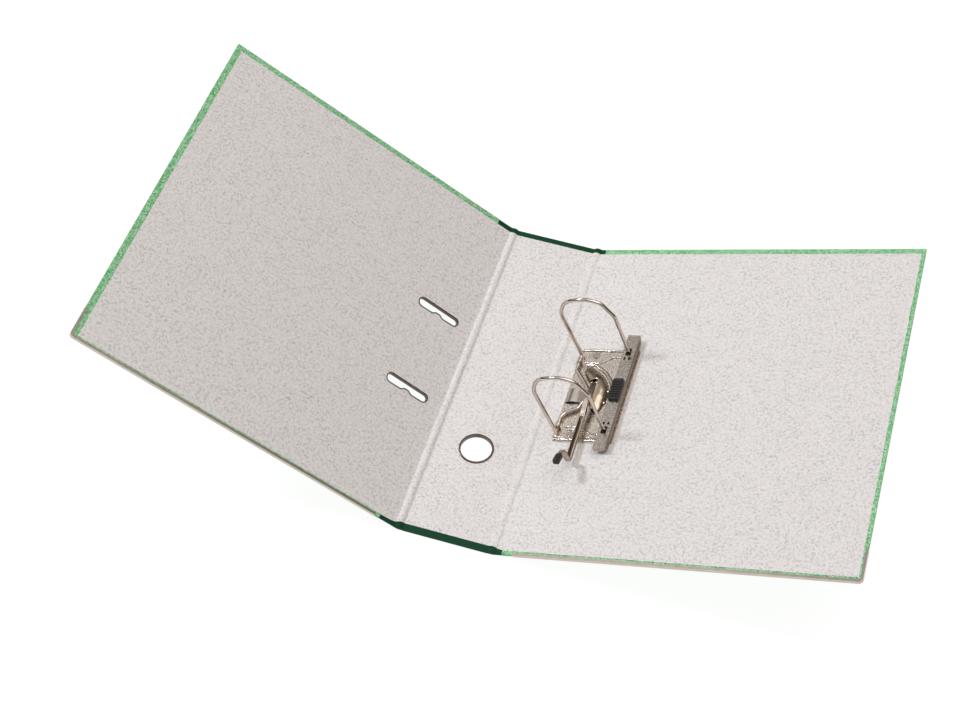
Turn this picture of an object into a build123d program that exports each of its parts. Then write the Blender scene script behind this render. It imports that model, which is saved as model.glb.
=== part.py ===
"""A4 lever arch file, 80 mm wide, lying open on its spine.

Units are millimetres and degrees.  X runs across the open case with the back cover at +X, Y runs up
the spine towards the top of the file and +Z points into the file.  The origin is the centre of the
spine's outer face, at the middle of its height.

The case is drawn flat first.  Each cover is then turned up about its hinge, and the ring mechanism
turns with the back cover.
"""

from build123d import *
import os
from math import cos, radians, sin

os.makedirs("parts", exist_ok=True)

# ---- Case ----
FILE_HEIGHT = 318.0
COVER_REACH = 285.5      # hinge axis to the outer edge of a cover
HINGE_X = 38.3           # centre of the spine to a hinge axis
HINGE_Z = 0.3            # height of a hinge axis over the outer face
FRONT_TILT = 31.6        # how far the front cover is lifted
BACK_TILT = 20.1         # how far the back cover is lifted
BOARD = 1.9
SKIN = 0.25              # outer paper and cloth
LINING = 0.2
TURN_IN = 14.0           # width of the paper turned over onto the inside
PAPER_BORDER = 5.5       # width of that paper left showing, where no other width is given
LOW_BORDER = {"back": 3.3, "front": 2.7}    # that width along the bottom edges
SIDE_BORDER = {"back": 3.0, "front": 5.5}   # and along the outer edges
HINGE_GAP = 4.5          # hinge axis to the edge of a board
RIDGE_RADIUS = 4.2       # moulded ridge that fills the hinge gap
CORNER_RADIUS = 3.2
CLOTH_REACH = {"back": 8.2, "front": 17.9}  # hinge axis to the end of the cloth

HALF_HEIGHT = FILE_HEIGHT / 2
BOARD_BOTTOM = SKIN
BOARD_TOP = SKIN + BOARD
BORDER_TOP = BOARD_TOP + SKIN
INNER_FACE = BORDER_TOP + LINING

# ---- Edge protectors ----
PROTECTOR_SHEET = 0.3
PROTECTOR_LIP = 1.7
RAIL_START = {"back": 17.6, "front": 22.0}  # hinge axis to the inner end of the bottom rail
PROTECTOR_RISE = 27.0    # length up the outer edge

# ---- Thumb hole and label on the spine ----
THUMB_X = -1.9
THUMB_Y = -71.5
THUMB_BORE = 12.6
THUMB_CUT = 12.95
THUMB_LIP = 14.1
THUMB_FOOT = 14.4
LABEL_WIDTH = 60.0
LABEL_LOW = -50.0
LABEL_HIGH = 140.0
LABEL_SHEET = 0.12

# ---- Ring mechanism, measured from the back fold line on the inner face ----
MECHANISM_X = HINGE_X + 0.4
MECHANISM_Y = -3.0
RING_SPACING = 80.0
WIRE_RADIUS = 1.5
RUNNING_FIT = 0.06
PLATE_SHEET = 0.9
PLATE_LEFT = 17.5
PLATE_RIGHT = 69.5
PLATE_HALF = 48.0
BOW_AXIS_X = 20.0
BOW_AXIS_Z = 3.0
POST_X = 62.6
POST_TOP = 49.5
LEVER_X = 40.5
LEVER_PIVOT_Y = 6.0
LEVER_PIVOT_Z = 4.2
LEVER_WIDTH = 4.4
LEVER_DEPTH = 3.2
PIVOT_RADIUS = 1.25
ROLLER_Y = -8.0
ROLLER_Z = 7.1
ROLLER_RADIUS = 2.0
ROLLER_PIN = 0.7
BAR_LEFT = 57.6
BAR_RIGHT = 68.0
BAR_TOP = 7.8
BAR_SHEET = 1.0
BAR_HALF = 58.0
BAR_FLANGE_LOW = 1.8
BAR_LIP_LOW = 5.2
BAR_END_LOW = 4.0
POST_OPENING = (60.3, 64.9, 3.6)            # low X, high X and half length
PIN_PRICKS = (60.6, 64.6)                   # X of the small square holes beside a post
CATCH_WINDOW = (61.7, 64.3, -4.3, 8.3)
LEAF = (59.4, 66.2, 46.5, 6.2, 6.7)         # low X, high X, half length, low Z and high Z
CATCH_HALF = 10.75
CATCH_PAD = (57.9, 66.9)
CATCH_RISE = 2.2
CATCH_RIBS = 7
CATCH_RIB_PITCH = 2.4
CATCH_RIB = (58.8, 66.0, 0.5, 0.6)          # low X, high X, half width and height
CATCH_TONGUE = (62.0, 64.0, 4.0)
POST_COLLAR_RADIUS = 2.6
POST_COLLAR_TOP = 2.1

# Stamped beads of the plate, as (points, half width, corner radii); MIRRORED ones are on both halves.
MIRRORED_BEADS = [
    ([(24.5, 33.2), (38.0, 32.6), (47.0, 39.2), (56.0, 39.8)], 1.0, [6, 6]),
    ([(19.0, 46.2), (56.0, 46.2)], 1.3, []),
]
SINGLE_BEADS = [
    ([(27.5, -36.2), (36.0, -36.2)], 0.8, []),
    ([(18.8, -43.6), (25.5, -43.6)], 0.8, []),
    ([(41.0, -43.6), (56.0, -43.6)], 0.8, []),
    ([(27.0, 31.0), (35.0, 30.4), (46.0, 22.6), (53.6, 12.0), (56.2, 3.0)], 1.6, [10, 20, 20]),
]
LUG_LOW = 31.2
LUG_HIGH = 35.8
LUG_SHEET = 0.95
RIVET_PLACES = [(32.0, 41.0), (32.0, -41.0), (63.0, 14.0), (63.0, -14.0)]
RIVET_SHANK = 1.9
RIVET_HEAD = 3.0
RIVET_FOOT = 4.0
RIVET_FOOT_SHEET = 0.4

# Wire of the bow: one arch from its tip down, and the crank from the upper foot to the lower one.
ARCH = [(62.6, 49.8), (62.6, 51.4), (55.5, 66.8), (44.0, 72.3), (24.5, 69.0), (17.0, 55.0)]
ARCH_RADII = [2, 10, 26, 14, 20]
FOOT_RADIUS = 3.5
CRANK = [
    (20.0, 23.6, 3.0),
    (29.0, 12.8, 3.2),
    (33.6, 6.4, 3.2),
    (39.5, -2.6, 3.3),
    (39.5, -7.8, 3.3),
    (34.6, -9.6, 3.2),
    (32.6, -15.8, 3.1),
    (22.6, -21.4, 3.0),
    (20.0, -25.0, 3.0),
]
CRANK_RADII = [4, 4, 4, 3, 2.2, 2.4, 4, 3, 3]

# Bracket over the crank: its sides, ends and rise, and the end that stays whole.
BRACKET_LEFT = 33.0
BRACKET_RIGHT = 49.0
BRACKET_LOW = -21.0
BRACKET_HIGH = 15.5
BRACKET_WHOLE_FROM = 12.6
BRACKET_RISE = 6.0
EAR_SHEET = 0.9

# Lever, side-on as (Y, Z) from the file's middle.
LEVER_ROUTE = [
    (5.5, 5.4),
    (-6.0, 8.3),
    (-18.0, 10.4),
    (-29.0, 7.0),
    (-73.0, 7.0),
    (-74.2, 18.8),
    (-79.5, 22.8),
]
LEVER_ROUTE_RADII = [20, 8, 8, 3.0, 4.0]
LEVER_END = [(-78.5, 22.45), (-87.5, 25.2)]
CAP_ROUTE = [(-80.3, 23.0), (-89.5, 25.8)]
LEVER_HUB = 2.6
GROOVE_HALF = 1.2
GROOVE_LOW = -70.0
GROOVE_HIGH = -31.0
POCKET_HALF = 2.3

# Blade spring, side-on as (X, Z), and its ends along the file.
BLADE = [(18.2, 1.15), (21.5, 2.9), (28.5, 2.8), (35.0, 1.2)]
BLADE_RADII = [5, 14]
BLADE_SHEET = 0.45
BLADE_LOW = -9.2
BLADE_HIGH = 4.4

# ---- Slots in the front cover, measured from the front fold line ----
SLOT_FROM_HINGE = HINGE_X + 0.6 + 36.5
SLOT_ROWS = {"upper": 37.3, "lower": -43.7}
SLOT_CORNERS = [
    (-19.2, 3.5),
    (19.2, 4.5),
    (19.2, -4.6),
    (4.8, -4.6),
    (1.6, -2.4),
    (-2.0, -2.4),
    (-5.2, -4.6),
    (-19.2, -4.6),
]
SLOT_RADII = [3.0, 4.2, 4.2, 1.6, 1.2, 1.2, 1.6, 4.0]
RIM_SHEET = 0.35
RIM_LIP = 0.5


def block(x0, x1, y0, y1, z0, z1):
    """Box given by its low and high sides."""
    centre = Pos((x0 + x1) / 2, (y0 + y1) / 2, (z0 + z1) / 2)
    return centre * Box(x1 - x0, y1 - y0, z1 - z0)


def rod(radius, z0, z1, x=0.0, y=0.0):
    """Upright cylinder between two heights."""
    return Pos(x, y, (z0 + z1) / 2) * Cylinder(radius, z1 - z0)


def cross_rod(radius, x0, x1, y, z):
    """Cylinder along X."""
    return Pos((x0 + x1) / 2, y, z) * Rot(0, 90, 0) * Cylinder(radius, x1 - x0)


def track(points, radii):
    """Straight runs joined by tangent arcs, or one straight run."""
    if radii:
        return FilletPolyline(*points, radius=radii)
    return Polyline(*points)


def wire(points, radii, radius=WIRE_RADIUS):
    """Round wire along a track."""
    path = track(points, radii)
    section = Plane(origin=path @ 0, z_dir=path % 0) * Circle(radius)
    return sweep(section, path=path)


def prism(face, z0, z1):
    """Flat outline in XY extruded between two heights."""
    return Pos(0, 0, z0) * extrude(face, z1 - z0, dir=(0, 0, 1))


# ------------------------------------------------------------------ case, drawn flat


def cover_outline(start, inset):
    """Cover slab seen from above: a rectangle with the bottom outer corner rounded."""
    x0 = HINGE_X + start
    x1 = HINGE_X + COVER_REACH - inset
    half = HALF_HEIGHT - inset
    sheet = Pos((x0 + x1) / 2, 0) * Rectangle(x1 - x0, 2 * half)
    corner = sheet.vertices().sort_by(Axis.X)[-2:].sort_by(Axis.Y)[0]
    return fillet(corner, CORNER_RADIUS - inset)


def wrapped_skin(start, end):
    """Paper or cloth on the outside of a cover, turned over its edges onto the inside."""
    band = block(HINGE_X + start, HINGE_X + end, -HALF_HEIGHT, HALF_HEIGHT, 0, BORDER_TOP)
    shell = prism(cover_outline(start, 0), 0, BORDER_TOP) & band
    core = prism(cover_outline(start - 1, SKIN), BOARD_BOTTOM, BOARD_TOP)
    window = block(
        HINGE_X + start - 1,
        HINGE_X + COVER_REACH - TURN_IN,
        -HALF_HEIGHT + TURN_IN,
        HALF_HEIGHT - TURN_IN,
        BOARD_BOTTOM,
        BORDER_TOP + 1,
    )
    return shell - core - window


def cover_board():
    return prism(cover_outline(HINGE_GAP, SKIN), BOARD_BOTTOM, BOARD_TOP)


def cover_lining(name):
    """Lining sheet: fills the space inside the turned-in paper and laps over it."""
    x0 = HINGE_X + HINGE_GAP
    low = block(
        x0,
        HINGE_X + COVER_REACH - TURN_IN,
        -HALF_HEIGHT + TURN_IN,
        HALF_HEIGHT - TURN_IN,
        BOARD_TOP,
        BORDER_TOP,
    )
    high = block(
        x0,
        HINGE_X + COVER_REACH - SIDE_BORDER[name],
        -HALF_HEIGHT + LOW_BORDER[name],
        HALF_HEIGHT - PAPER_BORDER,
        BORDER_TOP,
        INNER_FACE,
    )
    return low + high


def edge_protector(name):
    """Folded sheet rail round the bottom edge and the bottom outer corner of a cover."""
    outline = cover_outline(RAIL_START[name], -PROTECTOR_SHEET)
    outer = prism(outline, -PROTECTOR_SHEET, BORDER_TOP + PROTECTOR_SHEET)
    cover = prism(cover_outline(HINGE_GAP, 0), 0, BORDER_TOP)
    inside = prism(cover_outline(HINGE_GAP, PROTECTOR_LIP), -1, INNER_FACE + 1)
    reach = HINGE_X + COVER_REACH
    bottom = block(
        HINGE_X, reach + 1, -HALF_HEIGHT - 1, -HALF_HEIGHT + PROTECTOR_LIP, -1, INNER_FACE + 1
    )
    side = block(
        reach - PROTECTOR_LIP - CORNER_RADIUS,
        reach + 1,
        -HALF_HEIGHT - 1,
        -HALF_HEIGHT + PROTECTOR_RISE,
        -1,
        INNER_FACE + 1,
    )
    return (outer - cover - inside) & (bottom + side)


def slot_outline(row, grow):
    """Front cover slot: straight along the top, with a neck between two lobes below."""
    outline = FilletPolyline(*SLOT_CORNERS, radius=SLOT_RADII, close=True)
    face = make_face(outline)
    if grow:
        face = offset(face, amount=grow, kind=Kind.ARC)
    return Pos(SLOT_FROM_HINGE, SLOT_ROWS[row]) * face


def slot_cut(row):
    return prism(slot_outline(row, 0), -1, INNER_FACE + 2)


def slot_rim(row):
    """Sheet eyelet pressed into a slot, with a thin lip on each face of the cover."""
    tube = prism(slot_outline(row, 0), 0, INNER_FACE)
    inner_lip = prism(slot_outline(row, RIM_LIP), INNER_FACE, INNER_FACE + RIM_SHEET)
    outer_lip = prism(slot_outline(row, RIM_LIP), -RIM_SHEET, 0)
    hole = prism(slot_outline(row, -RIM_SHEET), -1, INNER_FACE + 1)
    return tube + inner_lip + outer_lip - hole


def back_side(name):
    """The layers of one cover and its edge protector, drawn at +X."""
    cloth_reach = CLOTH_REACH[name]
    return {
        f"{name}_cover_board": cover_board(),
        f"{name}_joint_cloth": wrapped_skin(HINGE_GAP, cloth_reach),
        f"{name}_cover_paper": wrapped_skin(cloth_reach, COVER_REACH),
        f"{name}_cover_lining": cover_lining(name),
        f"{name}_edge_protector": edge_protector(name),
    }


def spine_parts():
    """Spine board, cloth, lining, label, thumb ring and the two hinge ridges."""
    half = HINGE_X - HINGE_GAP
    thumb = rod(THUMB_CUT, -1, INNER_FACE + 1, THUMB_X, THUMB_Y)
    foot = rod(THUMB_FOOT, -1, SKIN, THUMB_X, THUMB_Y)
    label = block(-LABEL_WIDTH / 2, LABEL_WIDTH / 2, LABEL_LOW, LABEL_HIGH, 0, LABEL_SHEET)
    board_half = HALF_HEIGHT - SKIN
    board = block(-half, half, -board_half, board_half, BOARD_BOTTOM, BOARD_TOP)
    cloth = block(-half, half, -HALF_HEIGHT, HALF_HEIGHT, 0, BORDER_TOP)
    cloth -= board
    cloth -= block(-half, half, -HALF_HEIGHT + TURN_IN, HALF_HEIGHT - TURN_IN, BOARD_TOP, BORDER_TOP)
    lining = block(-half, half, -HALF_HEIGHT + TURN_IN, HALF_HEIGHT - TURN_IN, BOARD_TOP, BORDER_TOP)
    border = HALF_HEIGHT - PAPER_BORDER
    lining += block(-half, half, -border, border, BORDER_TOP, INNER_FACE)
    ring = rod(THUMB_CUT, 0, INNER_FACE, THUMB_X, THUMB_Y)
    lip = rod(THUMB_LIP, INNER_FACE, INNER_FACE + 0.8, THUMB_X, THUMB_Y)
    ring += fillet(lip.edges().group_by(Axis.Z)[-1], 0.5)
    ring += rod(THUMB_FOOT, 0, SKIN, THUMB_X, THUMB_Y)
    ring -= rod(THUMB_BORE, -1, INNER_FACE + 2, THUMB_X, THUMB_Y)
    return {
        "spine_board": board - thumb,
        "spine_cloth": cloth - thumb - foot - label,
        "spine_lining": lining - thumb,
        "spine_label": label,
        "thumb_ring": ring,
        "front_hinge_ridge": hinge_ridge(-HINGE_X),
        "back_hinge_ridge": hinge_ridge(HINGE_X),
    }


def hinge_ridge(x):
    """Half-round ridge along a hinge, centred on the hinge axis and cut flat at the outer face."""
    bar = Pos(x, 0, HINGE_Z) * Rot(90, 0, 0) * Cylinder(RIDGE_RADIUS, FILE_HEIGHT)
    keep = block(x - 5, x + 5, -HALF_HEIGHT, HALF_HEIGHT, 0, RIDGE_RADIUS + 1)
    return bar & keep


# ------------------------------------------------------------------ ring mechanism, own datum


def plate_rib(points, radius, radii):
    """Smooth raised bead along the plate: the upper half of a round bar."""
    path = [(x, y, PLATE_SHEET) for x, y in points]
    below = block(0, 100, -100, 100, -5, PLATE_SHEET / 2)
    return wire(path, radii, radius) - below


def bow_lug(side):
    """Loop lanced up from the plate round the straight part of the bow."""
    low, high = sorted((side * LUG_LOW, side * LUG_HIGH))
    bore_radius = WIRE_RADIUS + RUNNING_FIT
    outer = bore_radius + LUG_SHEET
    lie = Pos(BOW_AXIS_X, (low + high) / 2, BOW_AXIS_Z) * Rot(90, 0, 0)
    shell = lie * Cylinder(outer, high - low)
    legs = block(BOW_AXIS_X - outer, BOW_AXIS_X + outer, low, high, PLATE_SHEET / 2, BOW_AXIS_Z)
    return shell + legs - lie * Cylinder(bore_radius, high - low + 2)


def base_plate():
    """Stamped plate with raised beads, lugs for the bow and holes for the rivets."""
    plate = block(PLATE_LEFT, PLATE_RIGHT, -PLATE_HALF, PLATE_HALF, 0, PLATE_SHEET)
    plate = fillet(plate.edges().filter_by(Axis.Z), 2.0)
    for side in (1, -1):
        for points, half_width, radii in MIRRORED_BEADS:
            plate += plate_rib([(x, y * side) for x, y in points], half_width, radii)
        plate += bow_lug(side)
    for points, half_width, radii in SINGLE_BEADS:
        plate += plate_rib(points, half_width, radii)
    for x, y in RIVET_PLACES:
        plate -= rod(RIVET_SHANK, -1, 2, x, y)
    slit = block(24.5, 31.5, BLADE_LOW - 1.7, BLADE_LOW - 0.9, -1, 2)
    return plate - slit


def rivets():
    """Four rivets through the plate and the back cover, two of them under the bar."""
    group = []
    for x, y in RIVET_PLACES:
        rivet = rod(RIVET_SHANK, -INNER_FACE, PLATE_SHEET, x, y)
        rivet += rod(RIVET_FOOT, -INNER_FACE - RIVET_FOOT_SHEET, -INNER_FACE, x, y)
        head = rod(RIVET_HEAD, PLATE_SHEET, PLATE_SHEET + 0.8, x, y)
        rivet += fillet(head.edges().group_by(Axis.Z)[-1], 0.6)
        group.append(rivet)
    return Compound(children=group)


def post(side):
    """Fixed upright that carries one leg of a ring."""
    y = side * RING_SPACING / 2
    upright = rod(WIRE_RADIUS, PLATE_SHEET, POST_TOP, POST_X, y)
    return upright + rod(POST_COLLAR_RADIUS, PLATE_SHEET, POST_COLLAR_TOP, POST_X, y)


def ring_points(side):
    """One arch of the bow from its tip down to the pivot line."""
    y = side * RING_SPACING / 2
    return [(x, y, z) for x, z in ARCH] + [(BOW_AXIS_X, y, BOW_AXIS_Z)]


def bow():
    """One length of wire: upper arch, crank in the middle, lower arch."""
    points = ring_points(1) + CRANK + ring_points(-1)[::-1]
    arch = ARCH_RADII + [FOOT_RADIUS]
    return wire(points, arch + CRANK_RADII + arch[::-1])


def lever_bracket():
    """Smooth arched bracket: whole at its top end, half cut away for the lever and the crank."""
    left, right, low, high = BRACKET_LEFT, BRACKET_RIGHT, BRACKET_LOW, BRACKET_HIGH
    chord = (right - left) / 2
    radius = (chord**2 + BRACKET_RISE**2) / (2 * BRACKET_RISE)
    centre_z = PLATE_SHEET + BRACKET_RISE - radius
    lie = Pos((left + right) / 2, (low + high) / 2, centre_z) * Rot(90, 0, 0)
    shell = lie * Cylinder(radius, high - low) - lie * Cylinder(radius - PLATE_SHEET, high - low + 2)
    shell -= block(left - 9, right + 9, low - 1, high + 1, -40, PLATE_SHEET)
    open_edge = LEVER_X + LEVER_WIDTH / 2 + 0.3
    shell -= block(left - 2, open_edge, low - 1, BRACKET_WHOLE_FROM, 0, 12)
    inside = lie * Cylinder(radius - 0.2, high - low)
    pivot_y = LEVER_PIVOT_Y - MECHANISM_Y
    right_ear = block(open_edge, open_edge + EAR_SHEET, pivot_y - 2.6, pivot_y + 2.6, PLATE_SHEET, 8)
    left_face = 37.2
    ear_end = BRACKET_WHOLE_FROM + 0.6
    left_ear = block(left_face, left_face + EAR_SHEET, pivot_y - 2.3, ear_end, PLATE_SHEET, 8)
    bracket = shell + (right_ear & inside) + (left_ear & inside)
    return bracket - cross_rod(PIVOT_RADIUS, 30, 50, pivot_y, LEVER_PIVOT_Z)


def lever_pivot_pin():
    return cross_rod(PIVOT_RADIUS, 36.7, 44.4, LEVER_PIVOT_Y - MECHANISM_Y, LEVER_PIVOT_Z)


def side_profile(points, radii, depth, x, width):
    """Bent strip drawn side-on in YZ and given a width along X."""
    strip = trace(track(points, radii), line_width=depth)
    return Pos(x, 0, 0) * extrude(Plane.YZ * strip, width / 2, both=True)


def from_middle(points):
    """Side-on points measured from the mechanism's own middle."""
    return [(y - MECHANISM_Y, z) for y, z in points]


def lever():
    """Hand lever: hub, humped root over the crank, long grooved arm and upturned end."""
    shift = -MECHANISM_Y
    left, right = LEVER_X - LEVER_WIDTH / 2, LEVER_X + LEVER_WIDTH / 2
    route = from_middle(LEVER_ROUTE)
    body = side_profile(route, LEVER_ROUTE_RADII, LEVER_DEPTH, LEVER_X, LEVER_WIDTH)
    body += cross_rod(LEVER_HUB, left, right, LEVER_PIVOT_Y + shift, LEVER_PIVOT_Z)
    body += side_profile(from_middle(LEVER_END), [], 2.4, LEVER_X, 3.0)
    groove_left, groove_right = LEVER_X - GROOVE_HALF, LEVER_X + GROOVE_HALF
    body -= block(groove_left, groove_right, GROOVE_LOW + shift, GROOVE_HIGH + shift, 7.0, 12)
    body -= cross_rod(PIVOT_RADIUS + RUNNING_FIT, 30, 50, LEVER_PIVOT_Y + shift, LEVER_PIVOT_Z)
    middle = ROLLER_Y + shift
    pocket_top = ROLLER_Z + POCKET_HALF
    body -= block(groove_left, groove_right, middle - POCKET_HALF, middle + POCKET_HALF, 4, pocket_top)
    return body - cross_rod(ROLLER_PIN, 30, 50, middle, ROLLER_Z)


def lever_cap(lever_solid):
    """Moulded finger cap pushed over the end of the lever."""
    core = side_profile(from_middle(CAP_ROUTE), [], 4.6, LEVER_X, 5.2)
    return fillet(core.edges(), 1.1) - lever_solid


def roller_parts():
    """Small roller that bears on the crank, and its pin across the lever."""
    y = ROLLER_Y - MECHANISM_Y
    half = GROOVE_HALF - 0.1
    roller = cross_rod(ROLLER_RADIUS, LEVER_X - half, LEVER_X + half, y, ROLLER_Z)
    roller -= cross_rod(ROLLER_PIN + 0.05, 30, 50, y, ROLLER_Z)
    pin = cross_rod(ROLLER_PIN, LEVER_X - LEVER_WIDTH / 2, LEVER_X + LEVER_WIDTH / 2, y, ROLLER_Z)
    return roller, pin


def bow_spring():
    """Blade spring: hooked on the plate at the left, bulging up and ending under the crank."""
    strip = Plane.XZ * trace(track(BLADE, BLADE_RADII), line_width=BLADE_SHEET)
    return Pos(0, BLADE_HIGH, 0) * extrude(strip, BLADE_HIGH - BLADE_LOW, dir=(0, -1, 0))


def compressor_bar():
    """Folded bar that slides on the posts and holds the sheets down."""
    web = block(BAR_LEFT, BAR_RIGHT, -BAR_HALF, BAR_HALF, BAR_TOP - BAR_SHEET, BAR_TOP)
    web += block(BAR_RIGHT - BAR_SHEET, BAR_RIGHT, -BAR_HALF, BAR_HALF, BAR_FLANGE_LOW, BAR_TOP)
    web += block(BAR_LEFT, BAR_LEFT + BAR_SHEET, -BAR_HALF, BAR_HALF, BAR_LIP_LOW, BAR_TOP)
    x0, x1, half = POST_OPENING
    for side in (1, -1):
        outer = side * BAR_HALF
        inner = side * (BAR_HALF - BAR_SHEET)
        web += block(BAR_LEFT, BAR_RIGHT, min(outer, inner), max(outer, inner), BAR_END_LOW, BAR_TOP)
        web -= Pos(BAR_RIGHT, outer, BAR_FLANGE_LOW) * Rot(45, 0, 0) * Box(4, 5.2, 5.2)
        y = side * RING_SPACING / 2
        web -= block(x0, x1, y - half, y + half, BAR_TOP - 3, BAR_TOP + 1)
        for x in PIN_PRICKS:
            web -= Pos(x, y - side * 6.8, BAR_TOP) * Box(1.7, 2.6, 4)
    return web - block(*CATCH_WINDOW, BAR_TOP - 3, BAR_TOP + 1)


def compressor_spring():
    """Thin leaf inside the bar that grips the posts."""
    x0, x1, half, z0, z1 = LEAF
    leaf = block(x0, x1, -half, half, z0, z1)
    for side in (1, -1):
        leaf -= rod(WIRE_RADIUS + 0.2, z0 - 1, z1 + 1, POST_X, side * RING_SPACING / 2)
    return leaf


def compressor_catch():
    """Ribbed finger slide on top of the bar, with a tongue in the bar's slot."""
    top = BAR_TOP + CATCH_RISE
    pad = block(*CATCH_PAD, -CATCH_HALF, CATCH_HALF, BAR_TOP, top)
    pad = fillet(pad.edges().filter_by(Axis.Z), 1.4)
    x0, x1, half, height = CATCH_RIB
    for i in range(CATCH_RIBS):
        y = (i - (CATCH_RIBS - 1) / 2) * CATCH_RIB_PITCH
        pad += block(x0, x1, y - half, y + half, top, top + height)
    x0, x1, half = CATCH_TONGUE
    return pad + block(x0, x1, -half, half, BAR_TOP - BAR_SHEET, BAR_TOP)


def mechanism():
    """Every piece of the ring mechanism, measured from the fold line and its own middle."""
    lever_solid = lever()
    roller, pin = roller_parts()
    return {
        "base_plate": base_plate(),
        "mechanism_rivets": rivets(),
        "upper_post": post(1),
        "lower_post": post(-1),
        "bow": bow(),
        "bow_spring": bow_spring(),
        "lever_bracket": lever_bracket(),
        "lever_pivot_pin": lever_pivot_pin(),
        "lever": lever_solid,
        "lever_cap": lever_cap(lever_solid),
        "lever_roller": roller,
        "roller_pin": pin,
        "compressor_bar": compressor_bar(),
        "compressor_spring": compressor_spring(),
        "compressor_catch": compressor_catch(),
    }


# ------------------------------------------------------------------ assembly


def lift_back(shape):
    """Turn a flat-drawn piece up with the back cover."""
    hinge = Pos(HINGE_X, 0, HINGE_Z)
    return hinge * Rot(0, -BACK_TILT, 0) * Pos(-HINGE_X, 0, -HINGE_Z) * shape


def lift_front(shape):
    """Mirror a flat-drawn piece to the front cover and turn it up."""
    hinge = Pos(-HINGE_X, 0, HINGE_Z)
    flat = mirror(shape, about=Plane.YZ)
    return hinge * Rot(0, FRONT_TILT, 0) * Pos(HINGE_X, 0, -HINGE_Z) * flat


def build():
    """All nodes in the row frame."""
    nodes = dict(spine_parts())

    front = back_side("front")
    for row in SLOT_ROWS:
        cut = slot_cut(row)
        for layer in ("board", "paper", "lining"):
            front[f"front_cover_{layer}"] -= cut
        front[f"{row}_slot_rim"] = slot_rim(row)
    for name, shape in front.items():
        nodes[name] = lift_front(shape)

    back = back_side("back")
    datum = Pos(MECHANISM_X, MECHANISM_Y, INNER_FACE)
    for x, y in RIVET_PLACES:
        bore = datum * rod(RIVET_SHANK, -INNER_FACE - 1, 1, x, y)
        for layer in ("board", "paper", "lining"):
            back[f"back_cover_{layer}"] -= bore
    for name, shape in back.items():
        nodes[name] = lift_back(shape)

    for name, shape in mechanism().items():
        nodes[name] = lift_back(datum * shape)
    return nodes


def print_joints():
    """Joint axes in the row frame."""
    tilt = radians(BACK_TILT)

    def lifted(x, z):
        dx = MECHANISM_X + x - HINGE_X
        dz = INNER_FACE + z - HINGE_Z
        return HINGE_X + dx * cos(tilt) - dz * sin(tilt), HINGE_Z + dx * sin(tilt) + dz * cos(tilt)

    for name, x, z in (
        ("bow", BOW_AXIS_X, BOW_AXIS_Z),
        ("lever", LEVER_X, LEVER_PIVOT_Z),
        ("roller", LEVER_X, ROLLER_Z),
    ):
        print(name, "axis passes through x, z:", lifted(x, z))
    print("back cover normal:", (-sin(tilt), 0, cos(tilt)), "and outward:", (cos(tilt), 0, sin(tilt)))


for node, solid in build().items():
    export_step(solid, f"parts/{node}.step")
print_joints()
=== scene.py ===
"""Looks for an A4 lever arch file that lies open on its spine.

Lengths in the tables below are millimetres; every mesh is made in metres in the frame of the CAD model.
Each cover has its own flat coordinates: d is the distance from the hinge axis along the cover, y the height
along the file and n the height over the outer face.
"""

from math import atan, cos, pi, radians, sin

import bpy
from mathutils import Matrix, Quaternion, Vector, noise
from mathutils.geometry import delaunay_2d_cdt


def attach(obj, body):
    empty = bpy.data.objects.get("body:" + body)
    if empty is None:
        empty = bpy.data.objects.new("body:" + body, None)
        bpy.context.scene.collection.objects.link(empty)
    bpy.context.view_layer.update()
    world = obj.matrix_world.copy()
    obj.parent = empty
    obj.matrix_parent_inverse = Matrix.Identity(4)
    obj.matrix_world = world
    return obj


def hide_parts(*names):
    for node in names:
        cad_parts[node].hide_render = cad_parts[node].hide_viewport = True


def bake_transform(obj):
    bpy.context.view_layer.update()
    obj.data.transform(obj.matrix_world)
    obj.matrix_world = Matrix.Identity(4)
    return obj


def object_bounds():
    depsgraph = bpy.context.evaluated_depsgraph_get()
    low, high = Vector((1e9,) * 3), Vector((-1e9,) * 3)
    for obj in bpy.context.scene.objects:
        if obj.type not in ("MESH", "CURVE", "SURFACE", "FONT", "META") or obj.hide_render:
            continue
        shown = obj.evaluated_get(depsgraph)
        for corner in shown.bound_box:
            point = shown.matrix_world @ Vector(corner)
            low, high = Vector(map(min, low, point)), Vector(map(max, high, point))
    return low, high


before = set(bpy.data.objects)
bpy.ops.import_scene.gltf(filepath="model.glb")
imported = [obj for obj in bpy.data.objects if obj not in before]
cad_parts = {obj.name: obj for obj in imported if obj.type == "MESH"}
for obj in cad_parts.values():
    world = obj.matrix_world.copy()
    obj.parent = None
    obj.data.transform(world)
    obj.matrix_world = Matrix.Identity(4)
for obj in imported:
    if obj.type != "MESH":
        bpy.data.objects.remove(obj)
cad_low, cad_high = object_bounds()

MM = 0.001

# ---- The case, as in the CAD model; a side is -1 for the front cover and 1 for the back one ----
FILE_HALF = 159.0
COVER_REACH = 285.5       # hinge axis to the outer edge of a cover
HINGE_X = 38.3
HINGE_Z = 0.3
TILT = {-1: radians(31.6), 1: radians(20.1)}
CLOTH_END = {-1: 17.9, 1: 8.2}
SIDE_NAME = {-1: "front", 1: "back"}
HINGE_GAP = 4.5           # hinge axis to the edge of a board
INNER_FACE = 2.6
LINING = 0.2
BORDER_TOP = INNER_FACE - LINING
CLOTH_SHEET = 0.25
PAPER_BORDER = 5.5
LOW_BORDER = {-1: 2.7, 1: 3.3}
LOW_STRETCH = -120.0      # below this height the lining eases out to the lower border
SIDE_BORDER = {-1: 5.5, 1: 3.0}
TURN_IN = 14.0
RIDGE_RADIUS = 4.55
RIDGE_SHARPNESS = 9       # how tightly the ridge meets the flat paper
FOLD_END = 7.0            # hinge axis to where the fold has run out into the cover
FOLD_STEPS = 30
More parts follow.
